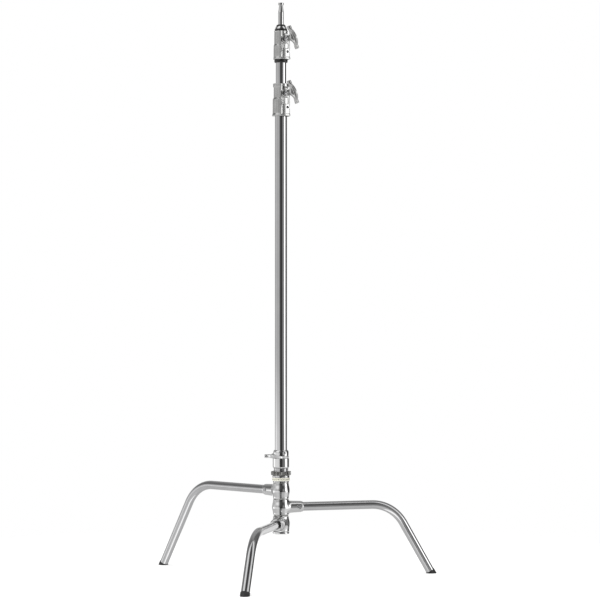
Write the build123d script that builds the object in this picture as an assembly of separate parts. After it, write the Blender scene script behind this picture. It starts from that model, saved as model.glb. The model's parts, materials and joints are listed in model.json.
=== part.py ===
from build123d import *
import math
import os

# A C-stand: three nested bent legs on a stacked hub base, a lift-out column,
# two telescoping risers with T-handle collars, and a 16 mm spigot on top.
# Millimetres. The floor is z 0, the column stands on the Z axis, and the fixed
# front leg points along -Y. Azimuths are degrees from +X towards +Y.

# Driving dimensions
COLUMN_R = 17.5
RISER_1_R = 15.0
RISER_2_R = 12.5
TUBE_WALL = 1.5
LEG_R = 12.5
LEG_WALL = 1.5
FIT = 0.1  # radial play of each sliding or turning fit
TOUCH_GAP = 0.3  # play between faces that only come close

LEG_SLOPE = 59.75  # fall of the lower leg below the horizontal
LEG_BEND_R = 110.0
LEG_NAMES = ("front", "middle", "top")
LEG_AZIMUTH = {"front": 270.0, "middle": 30.0, "top": 150.0}
LEG_Z = {"front": 156.5, "middle": 203.0, "top": 249.5}
LEG_CORNER = {"front": 308.0, "middle": 334.0, "top": 343.0}

HUB_PITCH = 46.5
HUB_R = 25.8
HUB_WAIST_R = 23.4
CORE_R = 19.5
SOCKET_R = 15.4
SOCKET_ROOT_R = 18.5
SOCKET_END = 65.0

HANDLE_AZIMUTH = 314.0
LEVER_AZIMUTH = 194.0
BLOCK_FACE = 27.0
BLOCK_HALF = 15.6
SCREW_R = 4.0
HANDLE_TILT = 24.0
HANDLE_CENTRE = 69.0
HANDLE_HALF = 34.0

# Heights up the stand
CORE_FOOT_Z = 132.0
HUB_TOP_Z = LEG_Z["top"] + HUB_PITCH / 2
INDEX_TOP_Z = 286.5
LOCK_RING_Z = 293.5
LOCK_RING_TOP_Z = 304.5
SLEEVE_Z = 313.5
SLEEVE_TOP_Z = 341.5
RELEASE_TOP_Z = 364.5
COLUMN_TOP_Z = 1352.0
RISER_1_Z = 330.0
RISER_1_TOP_Z = 1506.0
RISER_2_Z = 480.0
STUD_Z = 1569.5
STUD_STRAIGHT = 35.0
STUD_TOP_Z = 1631.5

WASHER = 0.5
WASHER_GAP = 0.7

os.makedirs("parts", exist_ok=True)


def save(name, shape):
    export_step(shape, f"parts/{name}.step")


def turned(*points):
    """Solid of revolution about Z from a closed outline of (radius, height) points."""
    outline = Polyline(*[(r, 0, z) for r, z in points], close=True)
    return revolve(make_face(outline), Axis.Z)


def ring(inner, outer, low, high):
    return turned((inner, low), (outer, low), (outer, high), (inner, high))


def rod(radius, start, end):
    """Cylinder along X from start to end."""
    bar = Cylinder(radius, end - start, align=(Align.CENTER, Align.CENTER, Align.MIN))
    return Pos(start, 0, 0) * Rot(0, 90, 0) * bar


def cone(start_r, end_r, start, end):
    """Cone along X from start to end."""
    body = Cone(start_r, end_r, end - start, align=(Align.CENTER, Align.CENTER, Align.MIN))
    return Pos(start, 0, 0) * Rot(0, 90, 0) * body


def turn_to(shape, azimuth):
    return Rot(0, 0, azimuth) * shape


# --- base -------------------------------------------------------------------


def leg_foot_radius(name):
    """Distance from the column axis to where the leg's centre line meets the floor."""
    return LEG_CORNER[name] + LEG_Z[name] / math.tan(math.radians(LEG_SLOPE))


def hub_body(low, high, foot_rim):
    """Barrel with a waist at each end, bored to turn on the core tube."""
    middle = (low + high) / 2
    edge = 1.5
    profile = [
        Line((CORE_R + FIT, 0, low), (HUB_WAIST_R - edge, 0, low)),
        Line((HUB_WAIST_R - edge, 0, low), (HUB_WAIST_R + foot_rim, 0, low + edge)),
        ThreePointArc(
            (HUB_WAIST_R + foot_rim, 0, low + edge), (HUB_R, 0, middle), (HUB_WAIST_R, 0, high - edge)
        ),
        Line((HUB_WAIST_R, 0, high - edge), (HUB_WAIST_R - edge, 0, high)),
        Line((HUB_WAIST_R - edge, 0, high), (CORE_R + FIT, 0, high)),
        Line((CORE_R + FIT, 0, high), (CORE_R + FIT, 0, low)),
    ]
    return revolve(make_face(profile), Axis.Z)


def leg_socket(z):
    """Cast socket that carries the leg, tapering outwards to a rounded mouth."""
    mouth = 4.0
    root = 8.0
    shoulder = SOCKET_END - mouth
    taper = cone(SOCKET_ROOT_R, SOCKET_R, root, shoulder)
    lip = cone(SOCKET_R, SOCKET_R - 1.8, shoulder, SOCKET_END)
    return Pos(0, 0, z) * (taper + lip)


LEG_START = 27.0
RIVET_AT = 50.0
RIVET_R = 3.0
RIVET_HEAD_R = 5.2


def leg_rivet_shape(z):
    """Cross rivet through socket and tube, with a low head on each side."""
    half = SOCKET_R
    head = 2.2
    shank = rod(RIVET_R, -half, half)
    heads = rod(RIVET_HEAD_R, half, half + head) + rod(RIVET_HEAD_R, -half - head, -half)
    return Pos(RIVET_AT, 0, z) * Rot(0, 0, 90) * (shank + heads)


def leg_hub(name):
    z = LEG_Z[name]
    low = z - HUB_PITCH / 2 + WASHER_GAP / 2
    high = z + HUB_PITCH / 2 - WASHER_GAP / 2
    foot_rim = 1.2 if name == "front" else 0.0
    body = hub_body(low, high, foot_rim) + leg_socket(z)
    body -= Cylinder(CORE_R + FIT, 2 * z + HUB_PITCH)
    body -= Pos(0, 0, z) * rod(LEG_R, LEG_START, SOCKET_END + 1)
    body -= leg_rivet_shape(z)
    return body


FOOT_CUT_Z = 9.0  # height of the centre of the tube's square-cut lower end
FOOT_R = 13.4
FOOT_PLUG = 22.0


def foot_direction():
    """Unit step down the lower leg, as (outwards, upwards)."""
    slope = math.radians(LEG_SLOPE)
    return math.cos(slope), -math.sin(slope)


def leg_end(name):
    """Centre of the leg tube's lower end."""
    return (leg_foot_radius(name) - FOOT_CUT_Z / math.tan(math.radians(LEG_SLOPE)), 0, FOOT_CUT_Z)


def leg_tube(name):
    z = LEG_Z[name]
    end = leg_end(name)
    path = FilletPolyline((LEG_START, 0, z), (LEG_CORNER[name], 0, z), end, radius=LEG_BEND_R)
    section = Plane(origin=(LEG_START, 0, z), z_dir=(1, 0, 0)) * (Circle(LEG_R) - Circle(LEG_R - LEG_WALL))
    tube = sweep(section, path=path)
    return tube - leg_rivet_shape(z)


def leg_foot(name):
    """Plug in the square-cut tube end, with a wider sole cut flat on the floor."""
    out, up = foot_direction()
    along = Plane(origin=leg_end(name), z_dir=(out, 0, up))
    flush = (Align.CENTER, Align.CENTER, Align.MIN)
    reach = 40.0
    sole = along * Cylinder(FOOT_R, reach, align=flush)
    plug = along * (Pos(0, 0, -FOOT_PLUG) * Cylinder(LEG_R - LEG_WALL, FOOT_PLUG, align=flush))
    floor = Pos(leg_foot_radius(name), 0, 0) * Box(
        4 * reach, 4 * reach, reach * 2, align=(Align.CENTER, Align.CENTER, Align.MAX)
    )
    return (sole + plug) - floor


def make_legs():
    for name in LEG_NAMES:
        azimuth = LEG_AZIMUTH[name]
        save(f"{name}_hub", turn_to(leg_hub(name), azimuth))
        save(f"{name}_leg_tube", turn_to(leg_tube(name), azimuth))
        save(f"{name}_leg_rivet", turn_to(leg_rivet_shape(LEG_Z[name]), azimuth))
        save(f"{name}_foot", turn_to(leg_foot(name), azimuth))


def make_core():
    hub_foot = LEG_Z["front"] - HUB_PITCH / 2
    inner = COLUMN_R + FIT
    save("core_tube", ring(inner, CORE_R, CORE_FOOT_Z, RELEASE_TOP_Z - 6))
    cap = turned(
        (0, hub_foot - 6),
        (22.5, hub_foot - 6),
        (24.0, hub_foot - 4.5),
        (24.0, hub_foot - TOUCH_GAP),
        (CORE_R, hub_foot - TOUCH_GAP),
        (CORE_R, CORE_FOOT_Z),
        (inner, CORE_FOOT_Z),
        (inner, CORE_FOOT_Z + 5),
        (0, CORE_FOOT_Z + 5),
    )
    save("bottom_cap", cap)
    washer_levels = [LEG_Z[name] + HUB_PITCH / 2 - WASHER / 2 for name in LEG_NAMES]
    washers = [ring(CORE_R + FIT, HUB_WAIST_R - 2, z, z + WASHER) for z in washer_levels]
    save("thrust_washers", Compound(children=washers))


def make_index_collar():
    """Black grooved collar above the hubs, with a plain pale band round it."""
    low = HUB_TOP_Z + WASHER_GAP / 2
    band_low = 278.0
    band_r = 25.0
    collar = turned(
        (CORE_R, low),
        (23.2, low),
        (23.2, low + 3.5),
        (24.6, low + 4.5),
        (24.6, INDEX_TOP_Z),
        (CORE_R, INDEX_TOP_Z),
    )
    save("index_collar", collar)
    save("label_band", ring(24.6, band_r, band_low, INDEX_TOP_Z - 0.3))


LOBES = 14
LOCK_R = 27.2
LOBE_R = 4.0


def make_lock_ring():
    """Lobed cast ring that lifts against a spring to free the folding legs."""
    ring_low = LOCK_RING_Z
    spring_bore = 22.2
    seat = 3.0
    body = turned(
        (CORE_R + FIT, ring_low),
        (LOCK_R - 1, ring_low),
        (LOCK_R, ring_low + 1),
        (LOCK_R, LOCK_RING_TOP_Z - 1),
        (LOCK_R - 1.5, LOCK_RING_TOP_Z),
        (spring_bore, LOCK_RING_TOP_Z),
        (spring_bore, ring_low + seat),
        (CORE_R + FIT, ring_low + seat),
    )
    height = LOCK_RING_TOP_Z - ring_low - 2
    lobe = Cylinder(LOBE_R, height, align=(Align.CENTER, Align.CENTER, Align.MIN))
    for index in range(LOBES):
        place = Rot(0, 0, 360 * index / LOBES) * Pos(LOCK_R - LOBE_R + 1.6, 0, ring_low + 1)
        body += place * lobe
    body -= Cylinder(spring_bore, 4 * LOCK_RING_TOP_Z) & Pos(0, 0, ring_low + seat) * Cylinder(
        LOCK_R + 5, 100, align=(Align.CENTER, Align.CENTER, Align.MIN)
    )
    save("leg_lock_ring", body)
    skirt = turned(
        (CORE_R + FIT, INDEX_TOP_Z + TOUCH_GAP),
        (24.6, INDEX_TOP_Z + TOUCH_GAP),
        (25.0, ring_low - 3),
        (24.0, ring_low),
        (CORE_R + FIT, ring_low),
    )
    save("lock_skirt", skirt)
    wire = 0.8
    coil_r = 20.9
    low = ring_low + seat + wire
    high = SLEEVE_Z - wire
    turns = 4
    helix = Helix(pitch=(high - low) / turns, height=high - low, radius=coil_r)
    coil = sweep(Plane(origin=helix @ 0, z_dir=helix % 0) * Circle(wire), path=helix)
    save("lock_spring", Pos(0, 0, low) * coil)


def make_release():
    """Socket sleeve below, split collet, and the quick-release ring with its lever."""
    sleeve_r = 23.7
    sleeve = turned(
        (CORE_R, SLEEVE_Z),
        (sleeve_r - 3, SLEEVE_Z),
        (sleeve_r - 1, SLEEVE_Z + 1.2),
        (sleeve_r, SLEEVE_Z + 4),
        (sleeve_r, SLEEVE_TOP_Z),
        (CORE_R, SLEEVE_TOP_Z),
    )
    save("socket_sleeve", sleeve)
    collet_low = RELEASE_TOP_Z - 6
    collet = ring(COLUMN_R + FIT, CORE_R, collet_low, RELEASE_TOP_Z - 1.5)
    slit = Pos(0, 0, collet_low) * Box(60, 2, 30)
    save("clamp_collet", collet - turn_to(slit, LEVER_AZIMUTH + 90))
    ring_r = 23.3
    low = SLEEVE_TOP_Z + TOUCH_GAP
    body = turned(
        (CORE_R + FIT, low),
        (ring_r, low),
        (ring_r, RELEASE_TOP_Z - 5),
        (ring_r - 1.5, RELEASE_TOP_Z - 1),
        (ring_r - 3, RELEASE_TOP_Z),
        (CORE_R + FIT, RELEASE_TOP_Z),
    )
    arm_z = 347.0
    root = Pos(0, 0, arm_z) * cone(8.5, 5.2, 14, 30)
    root -= Pos(0, 0, low) * Cylinder(sleeve_r + 0.5, 20, align=(Align.CENTER, Align.CENTER, Align.MAX))
    bore = Cylinder(CORE_R + FIT, 4 * RELEASE_TOP_Z)
    save("release_ring", turn_to((body + root) - bore, LEVER_AZIMUTH))
    tip = 47.0
    lever = Pos(0, 0, arm_z) * (cone(5.2, 4.8, 30, tip - 3) + cone(4.8, 3.4, tip - 3, tip))
    save("release_lever", turn_to(lever, LEVER_AZIMUTH))


# --- column and risers ------------------------------------------------------


def make_column():
    top = COLUMN_TOP_Z
    plug_low = CORE_FOOT_Z + 5
    plug_high = plug_low + 6
    save("column_tube", ring(COLUMN_R - TUBE_WALL, COLUMN_R, plug_high, top))
    plug = turned(
        (0, plug_low),
        (COLUMN_R - 1, plug_low),
        (COLUMN_R, plug_low + 1),
        (COLUMN_R, plug_high),
        (COLUMN_R - TUBE_WALL, plug_high),
        (COLUMN_R - TUBE_WALL, plug_high + 16),
        (0, plug_high + 16),
    )
    save("column_plug", plug)


BUSH_FOOT = 24.0


def make_riser_bush(name, radius, low, outer_bore):
    """Guide bush at a riser's foot that runs in the tube below."""
    inner = radius - TUBE_WALL
    bush = turned(
        (inner - 2, low - BUSH_FOOT),
        (outer_bore - FIT - 1, low - BUSH_FOOT),
        (outer_bore - FIT, low - BUSH_FOOT + 1),
        (outer_bore - FIT, low),
        (inner, low),
        (inner, low + BUSH_FOOT),
        (inner - 2, low + BUSH_FOOT),
    )
    save(f"{name}_guide_bush", bush)


INSERT_R = 6.0
SHOE_R = 6.0
SHOE_BACK = 7.0  # depth of the brake shoe behind the riser's surface
SHOE_TRAVEL = 1.5
BOSS_RING_R = 7.0
BOSS_RING = 2.0
SEAM_X = 24.0
SEAM_Y = -12.2
SEAM_R = 3.2
PINCH_Y = 6.3
PINCH_R = 2.5
PINCH_HOLE_R = 3.0
PINCH_END = 23.5


def collar_casting(low, high, bore, upper_r, lower_r, step, lip, boss_z, notch_z, foot_flare):
    """Riser clamp casting: a stepped barrel with an arched block that carries the screw."""
    outline = [(bore, low), (lower_r + foot_flare, low), (lower_r + foot_flare * 0.8, low + 3)]
    outline += [(lower_r, low + 8), (lower_r - 0.3, step - 3), (upper_r, step)]
    outline += [(upper_r - 0.3, high - lip - 2), (upper_r + lip / 5, high - lip)]
    outline += [(upper_r + lip / 5, high - 1), (upper_r + lip / 5 - 1, high), (bore, high)]
    barrel = turned(*outline)
    flush = (Align.MIN, Align.CENTER, Align.MIN)
    block = Pos(0, 0, low) * Box(BLOCK_FACE, 2 * BLOCK_HALF, boss_z - low, align=flush)
    arch = Pos(0, 0, boss_z) * rod(BLOCK_HALF, 0, BLOCK_FACE)
    trim = Pos(0, SEAM_Y, low) * Box(60, 30, high - low, align=(Align.MIN, Align.MAX, Align.MIN))
    boss = Pos(0, 0, boss_z) * rod(BOSS_RING_R, 0, BLOCK_FACE + BOSS_RING)
    seam_h = high - low - 6.2
    upright = (Align.CENTER, Align.CENTER, Align.MIN)
    bead = Pos(SEAM_X, SEAM_Y, low + 4) * Cylinder(SEAM_R, seam_h, align=upright)
    web = Pos(0, SEAM_Y + 1, low + 4) * Box(SEAM_X, 4, seam_h, align=flush)
    body = barrel + ((block + arch) - trim) + boss + bead + web
    panel_low = notch_z + 8
    panel_high = boss_z - BLOCK_HALF + 5
    panel = Pos(BLOCK_FACE - 1.6, 0.6, panel_low) * Box(10, 16, panel_high - panel_low, align=flush)
    body -= panel
    return body - Cylinder(bore, 4 * high)


def edge_notch(notch_z):
    """Shallow V cut in one edge of the block."""
    apex = 12.2
    reach = BLOCK_HALF + 1
    half = (reach - apex) * 2
    outline = Polyline((0, apex, 0), (0, reach, -half), (0, reach, half), close=True)
    wedge = extrude(make_face(outline), 20, dir=(1, 0, 0))
    return Pos(BLOCK_FACE - 12, 0, notch_z) * wedge


def pinch_screw(tube_r):
    """Socket set screw that bears on the tube and holds the casting on it."""
    return rod(PINCH_R, tube_r, PINCH_END) - rod(1.4, PINCH_END - 2.5, PINCH_END + 1)


def make_collar(prefix, tube_r, riser_r, tube_top, casting):
    """One collar with its bush, thread insert, set screw, shoe, clamp screw and handle."""
    low, high = casting["low"], casting["high"]
    boss_z, notch_z = casting["boss_z"], casting["notch_z"]
    body = collar_casting(bore=tube_r, **casting)
    pocket_end = riser_r + SHOE_BACK + SHOE_TRAVEL + TOUCH_GAP
    at_boss = Pos(0, 0, boss_z)
    body -= at_boss * rod(SHOE_R + FIT, 0, pocket_end)
    body -= at_boss * rod(INSERT_R, pocket_end, BLOCK_FACE + BOSS_RING)
    body -= edge_notch(notch_z)
    at_pinch = Pos(0, PINCH_Y, notch_z)
    body -= at_pinch * (rod(PINCH_R, 10, PINCH_END) + rod(PINCH_HOLE_R, PINCH_END, 60))
    save(f"{prefix}_collar", turn_to(body, HANDLE_AZIMUTH))

    bush = ring(riser_r + FIT, tube_r, tube_top, high - 1)
    bush -= at_boss * rod(SHOE_R + FIT, 0, 40)
    save(f"{prefix}_collar_bush", turn_to(bush, HANDLE_AZIMUTH))

    insert = at_boss * (
        rod(INSERT_R, pocket_end, BLOCK_FACE + BOSS_RING + 0.5) - rod(SCREW_R + FIT / 2, 0, 60)
    )
    save(f"{prefix}_thread_insert", turn_to(insert, HANDLE_AZIMUTH))
    save(f"{prefix}_pinch_screw", turn_to(at_pinch * pinch_screw(tube_r), HANDLE_AZIMUTH))

    shoe = at_boss * rod(SHOE_R, 0, riser_r + SHOE_BACK) - Cylinder(riser_r + FIT, 4 * high)
    save(f"{prefix}_brake_shoe", turn_to(shoe, HANDLE_AZIMUTH))

    screw_start = riser_r + SHOE_BACK + FIT
    screw = at_boss * (rod(SCREW_R, screw_start, 60) + rod(SCREW_R + 1, 41, 44))
    save(f"{prefix}_clamp_screw", turn_to(screw, HANDLE_AZIMUTH))
    handle = at_boss * Rot(HANDLE_TILT, 0, 0) * t_handle()
    save(f"{prefix}_t_handle", turn_to(handle, HANDLE_AZIMUTH))


def t_handle():
    """Cast T-handle: a tapered hub, a bar with bulged ends, and a crest on the outside."""
    bar_r = 5.3
    end_r = 6.3
    bar = turned(
        (0, -HANDLE_HALF),
        (end_r - 1.5, -HANDLE_HALF),
        (end_r, 1.5 - HANDLE_HALF),
        (end_r - 0.2, 8 - HANDLE_HALF),
        (bar_r, 18 - HANDLE_HALF),
        (bar_r + 0.5, 0),
        (bar_r, HANDLE_HALF - 18),
        (end_r - 0.2, HANDLE_HALF - 8),
        (end_r, HANDLE_HALF - 1.5),
        (end_r - 1.5, HANDLE_HALF),
        (0, HANDLE_HALF),
    )
    bar = Pos(HANDLE_CENTRE, 0, 0) * bar
    hub_start = 44.0
    hub = cone(8.0, 9.4, hub_start, HANDLE_CENTRE - 2) - rod(SCREW_R, 0, 60)
    crest_half = 27.0
    crest_out = 17.5
    outline = [
        ThreePointArc(
            (HANDLE_CENTRE, 0, -crest_half),
            (HANDLE_CENTRE + crest_out, 0, 0),
            (HANDLE_CENTRE, 0, crest_half),
        ),
        Line((HANDLE_CENTRE, 0, crest_half), (HANDLE_CENTRE, 0, -crest_half)),
    ]
    thickness = 4.8
    crest = extrude(make_face(outline), thickness / 2, dir=(0, 1, 0), both=True)
    return bar + hub + crest


def make_collars():
    lower = {
        "low": 1310.0,
        "high": 1402.0,
        "upper_r": 21.0,
        "lower_r": 23.9,
        "step": 1361.0,
        "lip": 9.0,
        "boss_z": 1374.0,
        "notch_z": 1334.5,
        "foot_flare": 1.4,
    }
    make_collar("lower", COLUMN_R, RISER_1_R, COLUMN_TOP_Z, lower)
    upper = {
        "low": 1470.5,
        "high": 1551.5,
        "upper_r": 19.4,
        "lower_r": 21.3,
        "step": 1512.5,
        "lip": 1.5,
        "boss_z": 1527.5,
        "notch_z": 1491.5,
        "foot_flare": 0.7,
    }
    make_collar("upper", RISER_1_R, RISER_2_R, RISER_1_TOP_Z, upper)
    ring_low = 1461.5
    bumper = turned(
        (RISER_1_R, ring_low),
        (17.5, ring_low),
        (19.0, ring_low + 2.5),
        (19.0, upper["low"]),
        (RISER_1_R, upper["low"]),
    )
    save("upper_bumper_ring", bumper)
    return upper["high"]


def make_top(collar_top):
    """Domed cap on the upper riser, its two black rings, and the spigot pinned in it."""
    rest = collar_top + TOUCH_GAP
    cap_low = rest + 5.5
    cap_high = 1564.0
    stud_r = 8.0
    core_r = 7.6
    head_r = 7.8
    riser_top = cap_high - 1
    make_riser_bush("riser_2", RISER_2_R, RISER_2_Z, RISER_1_R - TUBE_WALL)
    save("cap_bumper_ring", turned((RISER_2_R, rest), (17.9, rest), (17.9, cap_low), (RISER_2_R, cap_low)))
    cap = turned(
        (RISER_2_R, cap_low),
        (16.8, cap_low),
        (16.2, cap_low + 2.5),
        (14.4, cap_high),
        (core_r, cap_high),
        (core_r, riser_top),
        (RISER_2_R, riser_top),
    )
    save("spigot_cap", cap)
    save(
        "cap_top_ring",
        turned((core_r, cap_high), (13.6, cap_high), (12.6, cap_high + 3.5), (10.6, STUD_Z), (core_r, STUD_Z)),
    )
    plug_low = riser_top - 60
    inner = RISER_2_R - TUBE_WALL
    straight_top = STUD_Z + STUD_STRAIGHT
    neck_r = 5.8
    spigot = turned(
        (0, plug_low),
        (inner, plug_low),
        (inner, riser_top),
        (core_r, riser_top),
        (core_r, STUD_Z),
        (stud_r, STUD_Z),
        (stud_r, straight_top),
        (7.4, straight_top + 3),
        (neck_r, STUD_TOP_Z - 9.5),
        (neck_r, STUD_TOP_Z - 7.5),
        (head_r, STUD_TOP_Z - 6.5),
        (head_r, STUD_TOP_Z - 1),
        (head_r - 1, STUD_TOP_Z),
        (0, STUD_TOP_Z),
    )
    pin_z = plug_low + 15
    pin_r = 2.5
    pin = turn_to(Pos(0, 0, pin_z) * rod(pin_r, -RISER_2_R, RISER_2_R), HANDLE_AZIMUTH + 90)
    pin &= Cylinder(RISER_2_R - FIT, 4 * pin_z)
    save("spigot", spigot - pin)
    save("spigot_cross_pin", pin)
    save("riser_2_tube", ring(inner, RISER_2_R, RISER_2_Z, riser_top) - pin)


make_legs()
make_core()
make_index_collar()
make_lock_ring()
make_release()
make_column()
make_riser_bush("riser_1", RISER_1_R, RISER_1_Z, COLUMN_R - TUBE_WALL)
save("riser_1_tube", ring(RISER_1_R - TUBE_WALL, RISER_1_R, RISER_1_Z, RISER_1_TOP_Z))
make_top(make_collars())
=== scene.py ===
import json
import math

import bpy
import numpy as np
from mathutils import Matrix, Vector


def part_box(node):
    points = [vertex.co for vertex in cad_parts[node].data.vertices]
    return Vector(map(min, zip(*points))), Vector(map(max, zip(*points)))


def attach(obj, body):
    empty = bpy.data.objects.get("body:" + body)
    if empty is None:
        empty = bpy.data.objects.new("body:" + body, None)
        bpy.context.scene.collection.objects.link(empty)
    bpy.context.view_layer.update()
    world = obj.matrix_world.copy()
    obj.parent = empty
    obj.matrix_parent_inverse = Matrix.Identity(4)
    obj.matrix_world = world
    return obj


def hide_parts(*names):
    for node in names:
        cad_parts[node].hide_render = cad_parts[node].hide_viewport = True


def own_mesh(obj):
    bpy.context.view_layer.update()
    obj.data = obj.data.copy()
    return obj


# A C-stand. The shape formulas are in millimetres and each is in its piece's own frame:
# x points outwards from the column's axis, z is up. mesh_piece() turns them to metres.

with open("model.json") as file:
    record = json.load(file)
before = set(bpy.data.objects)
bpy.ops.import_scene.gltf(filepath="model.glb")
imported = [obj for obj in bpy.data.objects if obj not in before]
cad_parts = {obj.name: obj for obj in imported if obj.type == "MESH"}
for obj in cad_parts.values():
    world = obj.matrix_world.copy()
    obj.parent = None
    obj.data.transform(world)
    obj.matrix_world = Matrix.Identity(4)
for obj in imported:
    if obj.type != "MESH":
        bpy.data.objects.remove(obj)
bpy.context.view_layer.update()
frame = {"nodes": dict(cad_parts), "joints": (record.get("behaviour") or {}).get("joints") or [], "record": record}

MM = 0.001
LEGS = ("front", "middle", "top")
LEG_SLOPE = math.radians(59.75)  # fall of the lower leg below the horizontal
LEG_BEND_R = 110.0  # of the tube's centre line
LEG_R = 12.5
LEG_WALL = 1.5
TUBE_WALL = 1.5
FIT = 0.1  # clearance of a part that turns or slides
ROUND = 0.5  # rounding of a turned edge
RIVET_AT = 50.0  # distance from the axis to a leg's cross rivet
FOOT_CUT = 9.0  # level where the tube ends in its foot
SOCKET_START = 27.0  # radius where the tube begins in its socket
SCREW_PITCH = 1.25

joints = {joint["name"]: joint for joint in frame["joints"]}
mounts = {mount["name"]: mount for mount in frame["record"]["mounts"]}


# --- where things are, read from the frame ---


def span(node):
    """Lowest and highest level of a CAD node, in millimetres."""
    low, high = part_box(node)
    return low.z / MM, high.z / MM


def radius(node):
    """Outer radius of a round CAD node that stands on the column's axis."""
    low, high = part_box(node)
    return (high.x - low.x) / 2 / MM


def turn_about_z(azimuth):
    return Matrix.Rotation(azimuth, 4, "Z")


def leg_azimuth(name):
    x, y, _ = mounts[f"{name}_foot_rest"]["pos_m"]
    return math.atan2(y, x)


def leg_foot_radius(name):
    x, y, _ = mounts[f"{name}_foot_rest"]["pos_m"]
    return math.hypot(x, y) / MM


def mid_level(node):
    return sum(span(node)) / 2


def screw_level(prefix):
    return joints[f"{prefix}_handle_turn"]["pos_m"][2] / MM


def screw_azimuth(prefix):
    x, y, _ = joints[f"{prefix}_handle_turn"]["axis"]
    return math.atan2(y, x)


# --- materials ---


EVEN = (1.0, 1.0, 1.0)
ALONG_Z = (1.0, 1.0, 0.02)  # marks drawn out along a tube
ROUND_Z = (0.02, 0.02, 1.0)  # marks of a lathe's tool


def new_material(name, colour, metallic, rough):
    material = bpy.data.materials.new(name)
    material.use_nodes = True
    shader = material.node_tree.nodes["Principled BSDF"]
    shader.inputs["Base Color"].default_value = (*colour, 1.0)
    shader.inputs["Metallic"].default_value = metallic
    shader.inputs["Roughness"].default_value = rough
    return material, shader


def add_node(material, kind, **inputs):
    node = material.node_tree.nodes.new(kind)
    for name, value in inputs.items():
        node.inputs[name.replace("_", " ")].default_value = value
    return node


def feed(material, socket, value):
    """Sets an input, or links it where value is another node's output."""
    if isinstance(value, bpy.types.NodeSocket):
        material.node_tree.links.new(value, socket)
    else:
        socket.default_value = value


def math_node(material, operation, *values):
    node = add_node(material, "ShaderNodeMath")
    node.operation = operation
    for socket, value in zip(node.inputs, values):
        feed(material, socket, value)
    return node.outputs["Value"]


def mixed(material, factor, first, second, blend_type="MIX"):
    """Colour mix of two colours or colour outputs."""
    mix = add_node(material, "ShaderNodeMix")
    mix.data_type = "RGBA"
    mix.blend_type = blend_type
    feed(material, mix.inputs["Factor"], factor)
    for socket, colour in zip([s for s in mix.inputs if s.type == "RGBA"], (first, second)):
        feed(material, socket, colour)
    return [s for s in mix.outputs if s.type == "RGBA"][0]


def show_mix(material, factor, first, second, output):
    """Puts a mix of two shaders on the output node."""
    mix = add_node(material, "ShaderNodeMixShader")
    for socket, value in zip(mix.inputs, (factor, first.outputs[0], second.outputs[0])):
        feed(material, socket, value)
    feed(material, material.node_tree.nodes[output].inputs["Surface"], mix.outputs["Shader"])


def about_z(material, coordinates):
    """Angle about the z axis, and z itself, of one kind of texture coordinates."""
    where = add_node(material, "ShaderNodeTexCoord")
    split = add_node(material, "ShaderNodeSeparateXYZ")
    feed(material, split.inputs["Vector"], where.outputs[coordinates])
    angle = math_node(material, "ARCTAN2", split.outputs["Y"], split.outputs["X"])
    return angle, split.outputs["Z"]


def object_coordinates(material, stretch=EVEN):
    """Object coordinates in metres, stretched along each axis."""
    where = add_node(material, "ShaderNodeTexCoord")
    scale = add_node(material, "ShaderNodeMapping", Scale=stretch)
    feed(material, scale.inputs["Vector"], where.outputs["Object"])
    return scale.outputs["Vector"]


def noise(material, vector, scale, detail=4.0, rough=0.55):
    texture = add_node(material, "ShaderNodeTexNoise", Scale=scale, Detail=detail, Roughness=rough)
    feed(material, texture.inputs["Vector"], vector)
    return texture.outputs["Fac"]


def ranged(material, value, low, high):
    """Maps a 0 to 1 value onto low to high."""
    spread = add_node(material, "ShaderNodeMapRange", To_Min=low, To_Max=high)
    feed(material, spread.inputs["Value"], value)
    return spread.outputs["Result"]


def smooth_range(material, value, start, full):
    """Goes smoothly from 0 to 1 as value goes from start to full."""
    spread = add_node(material, "ShaderNodeMapRange", From_Min=start, From_Max=full)
    spread.interpolation_type = "SMOOTHSTEP"
    feed(material, spread.inputs["Value"], value)
    return spread.outputs["Result"]


def tinted(material, value, low, high):
    """Maps a 0 to 1 value onto two colours."""
    ramp = add_node(material, "ShaderNodeValToRGB")
    for element, place, colour in zip(ramp.color_ramp.elements, (0.3, 0.7), (low, high)):
        element.position = place
        element.color = (*colour, 1.0)
    feed(material, ramp.inputs["Fac"], value)
    return ramp.outputs["Color"]


def bump(material, shader, height, strength, distance):
    node = add_node(material, "ShaderNodeBump", Strength=strength, Distance=distance)
    feed(material, node.inputs["Height"], height)
    feed(material, shader.inputs["Normal"], node.outputs["Normal"])


def make_chrome(name, colour, rough, draw):
    """Bright plate: faint handling smears, and fine marks drawn out the way the piece was worked."""
    material, shader = new_material(name, colour, 1.0, rough)
    links = material.node_tree.links
    smears = noise(material, object_coordinates(material), 38.0)
    links.new(ranged(material, smears, rough * 0.6, rough * 1.6), shader.inputs["Roughness"])
    shade = tuple(c * 0.93 for c in colour)
    links.new(tinted(material, smears, shade, colour), shader.inputs["Base Color"])
    marks = noise(material, object_coordinates(material, draw), 900.0, detail=2.0)
    bump(material, shader, marks, 0.03, 0.000004)
    return material


def painted_corner_shade(material, colour):
    """Painted shade: darkens a colour by ambient occlusion in holes, grooves and inside corners."""
    open_air = add_node(material, "ShaderNodeAmbientOcclusion", Distance=0.007)
    open_air.samples = 6
    depth = tinted(material, open_air.outputs["AO"], (0.22, 0.22, 0.22), (1.0, 1.0, 1.0))
    return mixed(material, 1.0, colour, depth, "MULTIPLY")


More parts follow.
